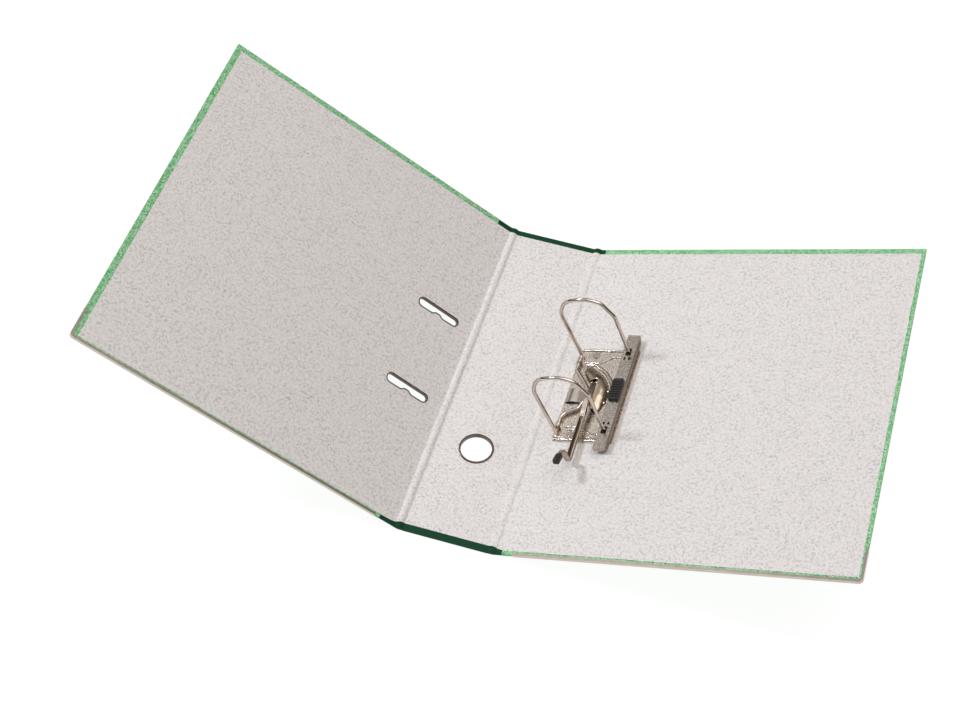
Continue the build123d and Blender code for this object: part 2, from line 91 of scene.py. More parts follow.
FOLD_ROUGH = 0.13         # unevenness of the paper over the ridge
EDGE_WANDER = 0.28        # waver of a pasted edge
SLOT_CENTRE = 37.1
SLOT_ROWS = (37.3, -43.7)
SLOT_CORNERS = [          # x, y and radius
    (-19.2, 3.5, 3.0),
    (19.2, 4.5, 4.2),
    (19.2, -4.6, 4.2),
    (4.8, -4.6, 1.6),
    (1.6, -2.4, 1.2),
    (-2.0, -2.4, 1.2),
    (-5.2, -4.6, 1.6),
    (-19.2, -4.6, 4.0),
]

# ---- The ring mechanism's origin on the back cover ----
MECHANISM_D = 0.4
MECHANISM_Y = -3.0


# ------------------------------------------------------------------ meshes


def to_world(side, d, y, n):
    """Point of a cover's flat coordinates in the CAD model's frame, in metres."""
    tilt = TILT[side]
    rise = n - HINGE_Z
    x = HINGE_X + d * cos(tilt) - rise * sin(tilt)
    z = HINGE_Z + d * sin(tilt) + rise * cos(tilt)
    return Vector((side * x, y, z)) * MM


def mechanism_point(x, y, z):
    """Point of the ring mechanism's own coordinates in the CAD model's frame, in metres."""
    return to_world(1, MECHANISM_D + x, MECHANISM_Y + y, INNER_FACE + z)


def make_mesh(name, points, faces, flat=None):
    """Mesh object from points in metres, with smooth faces and, if given, its flat coordinates."""
    mesh = bpy.data.meshes.new(name)
    mesh.from_pydata([tuple(p) for p in points], [], faces)
    mesh.validate()
    for polygon in mesh.polygons:
        polygon.use_smooth = True
    if flat is not None:
        layer = mesh.attributes.new("flat", "FLOAT_VECTOR", "POINT")
        for item, value in zip(layer.data, flat):
            item.vector = value
    mesh.update()
    piece = bpy.data.objects.new(name, mesh)
    bpy.context.scene.collection.objects.link(piece)
    return piece


def sharpen(piece, angle):
    """Marks edges sharper than the angle, so that flat sheets keep crisp borders."""
    piece.data.set_sharp_from_angle(angle=angle)


def slot_outline(centre_d, centre_y):
    """Front cover slot as a ring of points, with the same corners as in the CAD model."""
    ring = []
    count, steps = len(SLOT_CORNERS), 6
    for i, (x, y, radius) in enumerate(SLOT_CORNERS):
        before = Vector(SLOT_CORNERS[i - 1][:2]) - Vector((x, y))
        after = Vector(SLOT_CORNERS[(i + 1) % count][:2]) - Vector((x, y))
        before.normalize()
        after.normalize()
        half = before.angle(after) / 2
        reach = radius / abs(sin(half)) * cos(half)
        middle = Vector((x, y)) + (before + after).normalized() * (radius / sin(half))
        first = Vector((x, y)) + before * reach - middle
        last = Vector((x, y)) + after * reach - middle
        turn = first.angle_signed(last)
        for step in range(steps + 1):
            a = -turn * step / steps
            spoke = Vector((first.x * cos(a) - first.y * sin(a), first.x * sin(a) + first.y * cos(a)))
            ring.append(middle + spoke)
    return [(centre_d + p.x, centre_y + p.y) for p in ring]


def inside(point, ring):
    """True if a flat point lies in a ring of points."""
    x, y = point
    hit = False
    for (x0, y0), (x1, y1) in zip(ring, ring[1:] + ring[:1]):
        if (y0 > y) != (y1 > y) and x < (x1 - x0) * (y - y0) / (y1 - y0) + x0:
            hit = not hit
    return hit


def fold_angle(side, share):
    """Angle round the hinge axis, from the spine's normal, of a share of the fold's way."""
    first = -atan(HINGE_GAP / (INNER_FACE - HINGE_Z))
    last = atan(FOLD_END / (INNER_FACE - HINGE_Z)) - TILT[side]
    return first + (last - first) * share


def fold_point(side, angle, level):
    """Point over the hinge at a depth below the lining's face: two planes and a round ridge."""
    tilt = TILT[side]
    plane = INNER_FACE - HINGE_Z
    lean = angle if angle < -tilt / 2 else angle + tilt
    flat = plane / cos(lean)
    radius = (RIDGE_RADIUS**RIDGE_SHARPNESS + flat**RIDGE_SHARPNESS) ** (1 / RIDGE_SHARPNESS) - level
    x = HINGE_X + radius * sin(angle)
    z = HINGE_Z + radius * cos(angle)
    return Vector((side * x, z))


def fold_table(side):
    """Length along the lining's face at each step over the fold."""
    points = [fold_point(side, fold_angle(side, i / FOLD_STEPS), 0) for i in range(FOLD_STEPS + 1)]
    lengths = [0.0]
    for a, b in zip(points, points[1:]):
        lengths.append(lengths[-1] + (b - a).length)
    return lengths


def cut_sheet(columns, row_values, holes):
    """Flat points and faces of a sheet on a grid, with holes cut in it."""
    last_column, last_row = len(columns) - 1, len(row_values) - 1
    verts, edges, index = [], [], {}
    for i, u in enumerate(columns):
        for j, y in enumerate(row_values):
            on_edge = i in (0, last_column) or j in (0, last_row)
            if on_edge or not any(inside((u, y), ring) for ring in holes):
                index[i, j] = len(verts)
                verts.append(Vector((u, y)))
    for i in range(last_column):
        edges.append((index[i, 0], index[i + 1, 0]))
        edges.append((index[i, last_row], index[i + 1, last_row]))
    for j in range(last_row):
        edges.append((index[0, j], index[0, j + 1]))
        edges.append((index[last_column, j], index[last_column, j + 1]))
    for ring in holes:
        start, count = len(verts), len(ring)
        verts += [Vector(p) for p in ring]
        edges += [(start + k, start + (k + 1) % count) for k in range(count)]
    flat, _, faces, _, _, _ = delaunay_2d_cdt(verts, edges, [], 0, 1e-5)

    kept = []
    for face in faces:
        middle = sum((flat[k] for k in face), Vector((0, 0))) / len(face)
        if not any(inside(middle, ring) for ring in holes):
            kept.append(tuple(face))
    return flat, kept


def pasted_edge(side, point, fold_length, far, high):
    """Flat point of the lining, its outermost line wandering as cut and pasted paper does."""
    u, y = point
    wander = EDGE_WANDER * noise.noise(Vector((y * 0.06, side * 5.0, 1.0)))
    if u > far - 1.0:
        u += wander
    if abs(y) > high - 1.0 and u > fold_length:
        y += EDGE_WANDER * noise.noise(Vector((u * 0.06, side * 7.0, 2.0)))
    if y < LOW_STRETCH:
        ease = min(1.0, u / (fold_length + 3.0))
        extra = (PAPER_BORDER - LOW_BORDER[side]) * ease * ease * (3 - 2 * ease)
        y -= extra * (LOW_STRETCH - y) / (LOW_STRETCH + high)
    return u, y


def on_lining(side, lengths, u, y, level):
    """Point of the lining at a length u past the spine's edge and a depth under its face, in metres."""
    fold_length = lengths[-1]
    if u >= fold_length - 1e-6:
        point = to_world(side, u - fold_length + FOLD_END, y, INNER_FACE - level)
    else:
        k = max(i for i, value in enumerate(lengths) if value <= u + 1e-6)
        share = (u - lengths[k]) / (lengths[k + 1] - lengths[k])
        middle = fold_point(side, fold_angle(side, (k + share) / FOLD_STEPS), level)
        point = Vector((middle.x, y, middle.y)) * MM
    over = max(0.0, 1 - abs(u - fold_length / 2) / (fold_length / 2))
    rough = noise.noise(Vector((u * 0.22, y * 0.07, side * 3.0)))
    rough += 0.5 * noise.noise(Vector((u * 0.5, y * 0.3, 9.0)))
    centre = Vector((side * HINGE_X, y, HINGE_Z)) * MM
    lift = (point - centre).normalized() * (FOLD_ROUGH * rough * over * MM)
    return point + lift


def closed_sheet(side, faces, count):
    """Faces of the top, underside and rim of a sheet with so many points on each of its two levels."""
    uses = {}
    for face in faces:
        for a, b in zip(face, face[1:] + face[:1]):
            uses[frozenset((a, b))] = uses.get(frozenset((a, b)), []) + [(a, b)]
    top = [face if side > 0 else face[::-1] for face in faces]
    under = [tuple(k + count for k in reversed(face)) for face in top]
    walls = []
    for pair in uses.values():
        if len(pair) == 1:
            a, b = pair[0] if side > 0 else pair[0][::-1]
            walls.append((b, a, a + count, b + count))
    return top + under + walls


def hinge_lining(side):
    """Lining sheet of a cover with the ridge over its hinge, from the spine's edge to the border."""
    lengths = fold_table(side)
    fold_length = lengths[-1]
    far = fold_length + COVER_REACH - SIDE_BORDER[side] - FOLD_END
    high = FILE_HALF - PAPER_BORDER
    rows, body_columns = 78, 30
    row_values = [-high + 2 * high * i / rows for i in range(rows + 1)]
    columns = lengths[:-1]
    columns += [fold_length + (far - fold_length) * i / body_columns for i in range(body_columns + 1)]
    slot_rows = SLOT_ROWS if side < 0 else ()
    holes = [slot_outline(fold_length - FOLD_END + SLOT_CENTRE, row) for row in slot_rows]
    flat, faces = cut_sheet(columns, row_values, holes)
    moved = [pasted_edge(side, p, fold_length, far, high) for p in flat]
    points = [on_lining(side, lengths, u, y, level) for level in (0.0, LINING) for u, y in moved]
    seam = HINGE_X - HINGE_GAP
    coordinates = [Vector((side * (seam + u), y, 0)) * MM for u, y in moved] * 2
    closed = closed_sheet(side, faces, len(moved))
    piece = make_mesh(f"{SIDE_NAME[side]}_lining_sheet", points, closed, coordinates)
    sharpen(piece, radians(50))
    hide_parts(f"{SIDE_NAME[side]}_cover_lining", f"{SIDE_NAME[side]}_hinge_ridge")
    join_hinge(piece)
    return piece


def join_hinge(piece):
    """Bakes the place of a piece that lies over the hinge between the spine and a cover into its mesh."""
    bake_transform(piece)


def cloth_outer_point(side, along):
    """Point on the outer face of the cloth, at a distance past the hinge axis, with a soft bend."""
    soft = 1.6
    tilt = TILT[side]
    if along <= -soft:
        place = Vector((HINGE_X + along, 0.0))
    elif along >= soft:
        lifted = to_world(side, along, 0, 0) / MM
        place = Vector((side * lifted.x, lifted.z))
    else:
        t = (along + soft) / (2 * soft)
        first = Vector((HINGE_X - soft, 0.0))
        corner = Vector((HINGE_X + HINGE_Z * sin(tilt / 2), 0.0))
        last_x = HINGE_X + soft * cos(tilt) + HINGE_Z * sin(tilt)
        last_z = HINGE_Z + soft * sin(tilt) - HINGE_Z * cos(tilt)
        place = first * (1 - t) ** 2 + corner * 2 * t * (1 - t) + Vector((last_x, last_z)) * t * t
    return Vector((side * place.x, place.y))


def cloth_outline():
    """Section of the cloth along the file: y, 0 at the outer face or 1 at the inner, offset in from it."""
    inner_y = FILE_HALF - TURN_IN
    inset_y = FILE_HALF - CLOTH_SHEET
    bend, spans = 0.45, 40
    turns = [pi / 2 * k / 4 for k in range(5)]

    def quarter(end, face, out, down):
        """Quarter round at an end of the file, from two of the sine and cosine."""
        low = FILE_HALF - bend
        return [(end * (low + bend * out(a)), face, bend - bend * down(a)) for a in turns]

    outline = [(-inner_y, 1, 0.0)]
    outline += quarter(-1, 1, sin, cos)
    outline += quarter(-1, 0, cos, sin)
    outline += [(-FILE_HALF + 2 * FILE_HALF * k / spans, 0, 0.0) for k in range(1, spans)]
    outline += quarter(1, 0, sin, cos)
    outline += quarter(1, 1, cos, sin)
    outline += [(inner_y, 1, 0.0), (inner_y, 1, CLOTH_SHEET)]
    outline += [(inset_y, 1, CLOTH_SHEET), (inset_y, 0, CLOTH_SHEET)]
    outline += [(-inset_y, 0, CLOTH_SHEET), (-inset_y, 1, CLOTH_SHEET)]
    outline += [(-inner_y, 1, CLOTH_SHEET)]
    return outline


def hinge_cloth(side):
    """Book cloth over a hinge: outer sheet, end caps and the turned-in strips under the lining."""
    plane_steps = 5
    columns = []
    for i in range(FOLD_STEPS + 1):
        share = i / FOLD_STEPS
        inner = fold_point(side, fold_angle(side, share), LINING)
        columns.append((inner, -HINGE_GAP + (FOLD_END + HINGE_GAP) * share))
    for i in range(1, plane_steps + 1):
        along = FOLD_END + (CLOTH_END[side] - FOLD_END) * i / plane_steps
        point = to_world(side, along, 0, BORDER_TOP) / MM
        columns.append((Vector((point.x, point.z)), along))

    outline = cloth_outline()
    points, flat = [], []
    seam = HINGE_X - HINGE_GAP
    for inner, along in columns:
        low = cloth_outer_point(side, along)
        way = (inner - low).normalized()
        for y, share, offset in outline:
            base = inner - way * offset if share else low + way * offset
            points.append(Vector((base.x, y, base.y)) * MM)
            height = (base - low).length
            spread = y + height * (1 if y > 0 else -1)
            flat.append(Vector((side * (seam + along + HINGE_GAP), spread, height)) * MM)
    count = len(outline)
    faces = []
    for i in range(len(columns) - 1):
        for k in range(count):
            a, b = i * count + k, i * count + (k + 1) % count
            quad = (a, b, b + count, a + count)
            faces.append(quad if side > 0 else quad[::-1])
    piece = make_mesh(f"{SIDE_NAME[side]}_hinge_cloth", points, faces, flat)
    sharpen(piece, radians(55))
    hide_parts(f"{SIDE_NAME[side]}_joint_cloth")
    join_hinge(piece)
    return piece


# The blade spring's section in mechanism x and z, its ends along the file and its thickness.
BLADE_ROUTE = [
    (18.2, 1.15), (19.4, 1.9), (21.0, 2.6), (23.0, 3.0),
    (25.5, 3.1), (28.5, 2.8), (31.5, 2.15), (35.0, 1.2),
]
BLADE_LOW = -9.2
BLADE_HIGH = 4.4
BLADE_SHEET = 0.4


def blade_spring():
    """Thin blade that bears on the crank from below."""
    rows = 8
    points, flat = [], []
    count = len(BLADE_ROUTE)
    for layer in (0.5, -0.5):
        for j in range(rows + 1):
            y = BLADE_LOW + (BLADE_HIGH - BLADE_LOW) * j / rows
            for k, (x, z) in enumerate(BLADE_ROUTE):
                before = Vector(BLADE_ROUTE[max(0, k - 1)])
                after = Vector(BLADE_ROUTE[min(count - 1, k + 1)])
                across = (after - before).normalized()
                normal = Vector((-across.y, across.x))
                p = Vector((x, z)) + normal * layer * BLADE_SHEET
                points.append(mechanism_point(p.x, y, p.y))
                flat.append(Vector((x, y, z)) * MM)
    sheet = (rows + 1) * count
    faces = []
    for j in range(rows):
        for k in range(count - 1):
            a = j * count + k
            faces.append((a, a + 1, a + 1 + count, a + count))
            b = a + sheet
            faces.append((b, b + count, b + 1 + count, b + 1))
    for k in range(count - 1):
        faces.append((k, k + sheet, k + 1 + sheet, k + 1))
        a = rows * count + k
        faces.append((a, a + 1, a + 1 + sheet, a + sheet))
    for j in range(rows):
        a = j * count
        faces.append((a, a + count, a + count + sheet, a + sheet))
        a = j * count + count - 1
        faces.append((a, a + sheet, a + count + sheet, a + count))
    piece = make_mesh("blade_spring", points, faces, flat)
    sharpen(piece, radians(40))
    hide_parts("bow_spring")
    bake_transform(piece)
    return piece


def smooth_run(points, steps):
    """Even curve through a list of points, as Catmull-Rom spans."""
    ends = [points[0] * 2 - points[1], *points, points[-1] * 2 - points[-2]]
    run = []
    for a, b, c, d in zip(ends, ends[1:], ends[2:], ends[3:]):
        for k in range(steps):
            t = k / steps
            square = (2 * a - 5 * b + 4 * c - d) * t**2
            cube = (3 * b - a - 3 * c + d) * t**3
            run.append(0.5 * (2 * b + (c - a) * t + square + cube))
    run.append(points[-1])
    return run


def between(value, table):
    """Value read off a table of (place, value) pairs, straight between its rows."""
    if value <= table[0][0]:
        return table[0][1]
    for (x0, y0), (x1, y1) in zip(table, table[1:]):
        if value <= x1:
            return y0 + (y1 - y0) * (value - x0) / (x1 - x0)
    return table[-1][1]


# The bracket's dome, in mechanism coordinates: its ends along the file, where it starts to be whole, the
# line of its open side, and tables of (y, x) for its two feet and of (y, height) for its crest.
DOME_SHEET = 0.6
DOME_FOOT_Z = 0.9
DOME_OPEN_X = 43.05
DOME_OPEN_Y = 12.6
DOME_LOW = -17.5
DOME_TOP = 28.6
DOME_LEFT = [(12.6, 33.2), (16.0, 30.6), (20.0, 28.0), (24.0, 26.6), (28.6, 28.0)]
DOME_RIGHT = [
    (-17.5, 50.6), (-12.0, 52.2), (-4.0, 53.6), (3.0, 53.4), (9.0, 51.6),
    (15.0, 48.2), (20.0, 44.2), (24.0, 39.6), (28.6, 32.0),
]
DOME_CREST = [
    (-17.5, 4.0), (-12.0, 5.2), (-4.0, 6.0), (6.0, 6.1),
    (12.6, 5.6), (18.0, 4.1), (24.0, 1.9), (28.6, 0.15),
]

# Two small bright blisters beside the dome, at mechanism x and y.
BLISTERS = [(52.6, 3.4), (52.0, -8.2)]
BLISTER_RADIUS = 1.8
BLISTER_STRETCH = 1.3
BLISTER_BANDS = 4
BLISTER_SIDES = 16
BLISTER_FACES = BLISTER_BANDS * BLISTER_SIDES


def add_blister(x, y, points, faces):
    """Adds a small round bump to a mesh in mechanism coordinates."""
    start = len(points)
    for j in range(BLISTER_BANDS + 1):
        rise = pi / 2 * j / BLISTER_BANDS
        spread = BLISTER_RADIUS * cos(rise)
        z = DOME_FOOT_Z + BLISTER_RADIUS * sin(rise)
        for k in range(BLISTER_SIDES):
            turn = 2 * pi * k / BLISTER_SIDES
            points.append((x + spread * cos(turn), y + BLISTER_STRETCH * spread * sin(turn), z))
    for j in range(BLISTER_BANDS):
        for k in range(BLISTER_SIDES):
            a = start + BLISTER_SIDES * j + k
            b = start + BLISTER_SIDES * j + (k + 1) % BLISTER_SIDES
            faces.append((a, b, b + BLISTER_SIDES, a + BLISTER_SIDES))


def bracket_dome():
    """Bright stamped dome beside the lever, closed at its upper end and open along the lever."""
    rows, left_columns, right_columns = 44, 9, 14
    points, faces = [], []

    def height(across, crest):
        """Height of the dome at a share of the way from its crest to its foot."""
        return DOME_FOOT_Z + crest * max(0.0, 1 - across**2.3) ** 0.8

    grid = {}
    for j in range(rows + 1):
        y = DOME_LOW + (DOME_TOP - DOME_LOW) * j / rows
        right = between(y, DOME_RIGHT)
        crest = between(y, DOME_CREST)
        above = max(0.0, (y - DOME_OPEN_Y) / (DOME_TOP - DOME_OPEN_Y))
        left = between(y, DOME_LEFT)
        middle = DOME_OPEN_X * (1 - above) + (left + right) / 2 * above
        if y >= DOME_OPEN_Y:
            for i in range(left_columns):
                across = 1 - i / left_columns
                grid[i, j] = len(points)
                points.append((middle + (left - middle) * across, y, height(across, crest)))
        else:
            grid["wall", j] = len(points)
            points.append((middle, y, DOME_FOOT_Z))
            points.append((middle, y, DOME_FOOT_Z + crest * 0.5))
        for i in range(right_columns + 1):
            across = i / right_columns
            grid[left_columns + i, j] = len(points)
            points.append((middle + (right - middle) * across, y, height(across, crest)))
    for j in range(rows):
        for i in range(left_columns + right_columns):
            quad = [grid.get(k) for k in ((i, j), (i + 1, j), (i + 1, j + 1), (i, j + 1))]
            if None not in quad:
                faces.append(tuple(quad))
        if ("wall", j) in grid and ("wall", j + 1) in grid:
            a, b = grid["wall", j], grid["wall", j + 1]
            faces.append((a, a + 1, b + 1, b))
            faces.append((a + 1, grid[left_columns, j], grid[left_columns, j + 1], b + 1))
    for x, y in BLISTERS:
        add_blister(x, y, points, faces)
    piece = make_mesh("bracket_dome", [mechanism_point(*p) for p in points], faces)
    shell = piece.modifiers.new("thickness", "SOLIDIFY")
    shell.thickness = DOME_SHEET * MM
    shell.offset = -1.0
    sharpen(piece, radians(45))
    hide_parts("lever_bracket")
    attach(piece, "back_cover")
    return piece


def ring_disc(x0, x1, y, z, inner, outer, points, faces):
    """Adds a thick washer about an axis along X to a mesh in mechanism coordinates."""
    start, count = len(points), 28
    for k in range(count):
        a = 2 * pi * k / count
        for x, r in ((x0, inner), (x0, outer), (x1, outer), (x1, inner)):
            points.append((x, y + r * cos(a), z + r * sin(a)))
    for k in range(count):
        a, b = start + 4 * k, start + 4 * ((k + 1) % count)
        for i in range(4):
            faces.append((a + i, a + (i + 1) % 4, b + (i + 1) % 4, b + i))


# The lever's middle line in mechanism y and z, from its pivot to its cap.
LEVER_X = 40.5
LEVER_ROUTE = [
    (8.5, 5.0), (3.0, 6.3), (-3.0, 7.5), (-9.0, 8.5), (-15.0, 8.9), (-21.0, 8.2), (-26.0, 7.2),
    (-31.0, 7.0), (-45.0, 7.0), (-60.0, 7.0), (-68.4, 7.0), (-69.7, 8.0), (-70.2, 10.0), (-70.8, 14.5),
    (-71.3, 18.2), (-72.2, 20.2), (-74.2, 21.8), (-77.0, 23.1), (-80.5, 24.3), (-84.5, 25.3),
]
LEVER_CROOK_Y = -66.0
LEVER_WALL = 0.62
LEVER_ROUND = 0.35
LEVER_PIVOT = (9.0, 4.2)
LEVER_EARS = ((-2.2, -1.5), (1.5, 2.2))
EAR_BORE = 1.3
EAR_RADIUS = 2.6

# Faces in one ring of the lever, those in its upper groove, and the rings where that groove runs; these
# groove faces take a darker metal as painted shade.
RING_FACES = 20
GROOVE_FACES = (13, 14, 15)
GROOVE_RINGS = (31, 50)


def lever_strip():
    """Hand lever of folded strip: open below over the roller, open above along the arm."""
    # Along the route: half width, half depth, depth of the groove above and of the one below.
    half_width = [(-84.5, 1.45), (-76.0, 1.6), (-72.0, 2.0), (-66.0, 2.15), (8.5, 2.2)]
    half_depth = [(-84.5, 1.2), (-76.0, 1.3), (-70.0, 1.6), (8.5, 1.6)]
    above = [(-67.5, 0.0), (-65.0, 2.3), (-31.0, 2.3), (-27.0, 0.0)]
    below = [(-24.0, 0.0), (-20.0, 2.4), (8.5, 2.4)]
    route = smooth_run([Vector(p) for p in LEVER_ROUTE], 5)
    points, faces = [], []
    for k, here in enumerate(route):
        ahead = route[min(len(route) - 1, k + 1)] - route[max(0, k - 1)]
        along = ahead.normalized()
        up = Vector((along.y, -along.x))
        # On the last stretch, past the crook, the tables are read no nearer than the crook.
        y = here.x if k < len(route) * 0.6 else min(here.x, LEVER_CROOK_Y)
        w, h = between(y, half_width), between(y, half_depth)
        g, b = between(y, above), between(y, below)
        inner, edge = w - LEVER_WALL, LEVER_ROUND
        section = [
            (-w, -h + edge), (-w + edge * 0.3, -h + edge * 0.3), (-w + edge, -h),
            (-inner - 0.01, -h), (-inner, -h + b), (inner, -h + b), (inner + 0.01, -h),
            (w - edge, -h), (w - edge * 0.3, -h + edge * 0.3), (w, -h + edge),
            (w, h - edge), (w - edge * 0.3, h - edge * 0.3), (w - edge, h),
            (inner + 0.01, h), (inner, h - g), (-inner, h - g), (-inner - 0.01, h),
            (-w + edge, h), (-w + edge * 0.3, h - edge * 0.3), (-w, h - edge),
        ]
        for x, lift in section:
            place = here + up * lift
            points.append((LEVER_X + x, place.x, place.y))
    last = len(route) - 1
    for k in range(last):
        for i in range(RING_FACES):
            a, b = k * RING_FACES + i, k * RING_FACES + (i + 1) % RING_FACES
            faces.append((a, b, b + RING_FACES, a + RING_FACES))
    faces.append(tuple(range(RING_FACES))[::-1])
    faces.append(tuple(last * RING_FACES + i for i in range(RING_FACES)))
    for x0, x1 in LEVER_EARS:
        ring_disc(LEVER_X + x0, LEVER_X + x1, *LEVER_PIVOT, EAR_BORE, EAR_RADIUS, points, faces)
    piece = make_mesh("lever_strip", [mechanism_point(*p) for p in points], faces)
    sharpen(piece, radians(38))
    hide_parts("lever")
    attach(piece, "lever")
    return piece


# ------------------------------------------------------------------ materials


class Paint:
    """Small helper that builds one node material."""

    def __init__(self, name, source="object"):
        self.material = bpy.data.materials.new(name)
        self.material.use_nodes = True
        self.tree = self.material.node_tree
        self.tree.nodes.clear()
        output = self.tree.nodes.new("ShaderNodeOutputMaterial")
        self.shader = self.tree.nodes.new("ShaderNodeBsdfPrincipled")
        self.tree.links.new(self.shader.outputs["BSDF"], output.inputs["Surface"])
        if source == "flat":
            start = self.node("ShaderNodeAttribute", attribute_name="flat").outputs["Vector"]
        else:
            start = self.node("ShaderNodeTexCoord").outputs["Object"]
        self.place = self.vector("SCALE", start, scale=1000.0)

    def node(self, kind, **settings):
        """New node with its settings."""
        made = self.tree.nodes.new(kind)
        for key, value in settings.items():
            setattr(made, key, value)
        return made

    def feed(self, socket, value):
        """Links a socket to another one, or sets its value."""
        if isinstance(value, bpy.types.NodeSocket):
            self.tree.links.new(value, socket)
        else:
            socket.default_value = value

    def vector(self, operation, a, b=None, scale=None):
        made = self.node("ShaderNodeVectorMath", operation=operation)
        self.feed(made.inputs[0], a)
        if b is not None:
            self.feed(made.inputs[1], b)
        if scale is not None:
            made.inputs["Scale"].default_value = scale
        return made.outputs[0]

    def math(self, operation, a, b=0.0):
        made = self.node("ShaderNodeMath", operation=operation)
        self.feed(made.inputs[0], a)
        self.feed(made.inputs[1], b)
        return made.outputs[0]

    def noise(self, scale, detail=2.0, roughness=0.5, where=None, distortion=0.0):
        """Noise of so many features to the millimetre."""
        made = self.node("ShaderNodeTexNoise")
        self.feed(made.inputs["Vector"], where or self.place)
        made.inputs["Scale"].default_value = scale
        made.inputs["Detail"].default_value = detail
        made.inputs["Roughness"].default_value = roughness
        made.inputs["Distortion"].default_value = distortion
        return made.outputs[0]

    def shifted(self, where, shift):
        """Coordinates moved, so that a second noise doesn't follow the first."""
        return self.vector("ADD", where, shift)

    def ramp(self, value, low, high, to_low=0.0, to_high=1.0):
        """Value carried smoothly from one range to another."""
        made = self.node("ShaderNodeMapRange", interpolation_type="SMOOTHSTEP")
        self.feed(made.inputs["Value"], value)
        made.inputs["From Min"].default_value = low
        made.inputs["From Max"].default_value = high
        made.inputs["To Min"].default_value = to_low
        made.inputs["To Max"].default_value = to_high
        return made.outputs[0]

    def mix(self, share, a, b):
        made = self.node("ShaderNodeMix", data_type="RGBA")
        self.feed(made.inputs["Factor"], share)
        self.feed(made.inputs["A"], a)
        self.feed(made.inputs["B"], b)
        return made.outputs["Result"]

    def bump(self, height, distance, strength=1.0):
        """Relief of a height map, at so many millimetres."""
        made = self.node("ShaderNodeBump")
        made.inputs["Strength"].default_value = strength
        made.inputs["Distance"].default_value = distance * MM
        self.feed(made.inputs["Height"], height)
        self.feed(self.shader.inputs["Normal"], made.outputs["Normal"])

    def set(self, **values):
        names = {
            "color": "Base Color",
            "metallic": "Metallic",
            "roughness": "Roughness",
            "specular": "Specular IOR Level",
        }
        for key, value in values.items():
            self.feed(self.shader.inputs[names[key]], value)
        return self


def rgb(text):
    """Linear colour of an sRGB hex code."""
    values = []
    for i in (0, 2, 4):
        c = int(text[i : i + 2], 16) / 255
        values.append(c / 12.92 if c <= 0.04045 else ((c + 0.055) / 1.055) ** 2.4)
    return (*values, 1.0)


def lining_paint(source):
    """Off-white paper printed with fine broken grey flecks."""
    paint = Paint(f"lining_{source}", source)
    flat = paint.vector("MULTIPLY", paint.place, (1.0, 1.0, 0.0))
    cloud = paint.noise(0.035, 3.0, 0.6, flat)
    line = paint.math("ABSOLUTE", paint.math("SUBTRACT", paint.noise(0.68, 2.0, 0.6, flat), 0.5))
    line = paint.ramp(line, 0.015, 0.06, 1.0, 0.0)
    breaks = paint.noise(0.42, 2.0, 0.6, paint.shifted(flat, (40.0, 9.0, 0.0)))
    breaks = paint.ramp(breaks, 0.46, 0.56)
    dots = paint.ramp(paint.noise(0.8, 1.0, 0.5, paint.shifted(flat, (3.0, 70.0, 0.0))), 0.6, 0.68)
    dense = paint.noise(0.09, 2.0, 0.6, paint.shifted(flat, (11.0, 5.0, 0.0)))
    dense = paint.ramp(dense, 0.36, 0.62, 0.6, 1.0)
    fleck = paint.math("MULTIPLY", line, breaks)
    fleck = paint.math("MAXIMUM", fleck, paint.math("MULTIPLY", dots, 0.7))
    fleck = paint.math("MULTIPLY", fleck, dense)
    ground = paint.mix(cloud, rgb("e7e2df"), rgb("e2dddb"))
    fine = paint.ramp(paint.noise(1.5, 1.0, 0.5, flat), 0.42, 0.7, 0.0, 0.25)
    ground = paint.mix(fine, ground, rgb("bdb9b4"))
    colour = paint.mix(paint.math("MULTIPLY", fleck, 0.8), ground, rgb("989390"))
    paint.set(color=colour, roughness=paint.ramp(cloud, 0.2, 0.8, 0.62, 0.72), specular=0.3)
    paint.bump(paint.noise(3.0, 2.0, 0.6, flat), 0.03, 0.35)
    return paint.material


def marbled_paint():
    """Light green paper printed with dark blots, pale specks and a few brown ones."""
    paint = Paint("marbled_green")
    blot = paint.ramp(paint.noise(0.62, 3.0, 0.65, distortion=0.6), 0.46, 0.56)
    deep = paint.noise(0.85, 2.0, 0.6, paint.shifted(paint.place, (20.0, 3.0, 8.0)))
    deep = paint.ramp(deep, 0.54, 0.62)
    pale = paint.noise(0.95, 2.0, 0.6, paint.shifted(paint.place, (7.0, 31.0, 2.0)))
    pale = paint.ramp(pale, 0.56, 0.63)
    brown = paint.noise(0.7, 2.0, 0.6, paint.shifted(paint.place, (51.0, 4.0, 17.0)))
    brown = paint.ramp(brown, 0.6, 0.66)
    colour = paint.mix(blot, rgb("9bd4a0"), rgb("4fae6b"))
    colour = paint.mix(paint.math("MULTIPLY", deep, 0.8), colour, rgb("2a6a3f"))
    colour = paint.mix(paint.math("MULTIPLY", pale, 0.8), colour, rgb("dfe9d8"))
    colour = paint.mix(paint.math("MULTIPLY", brown, 0.6), colour, rgb("8b7a62"))
    paint.set(color=colour, roughness=paint.ramp(blot, 0.0, 1.0, 0.5, 0.56), specular=0.3)
    paint.bump(paint.noise(2.5, 2.0, 0.6), 0.03, 0.4)
    return paint.material


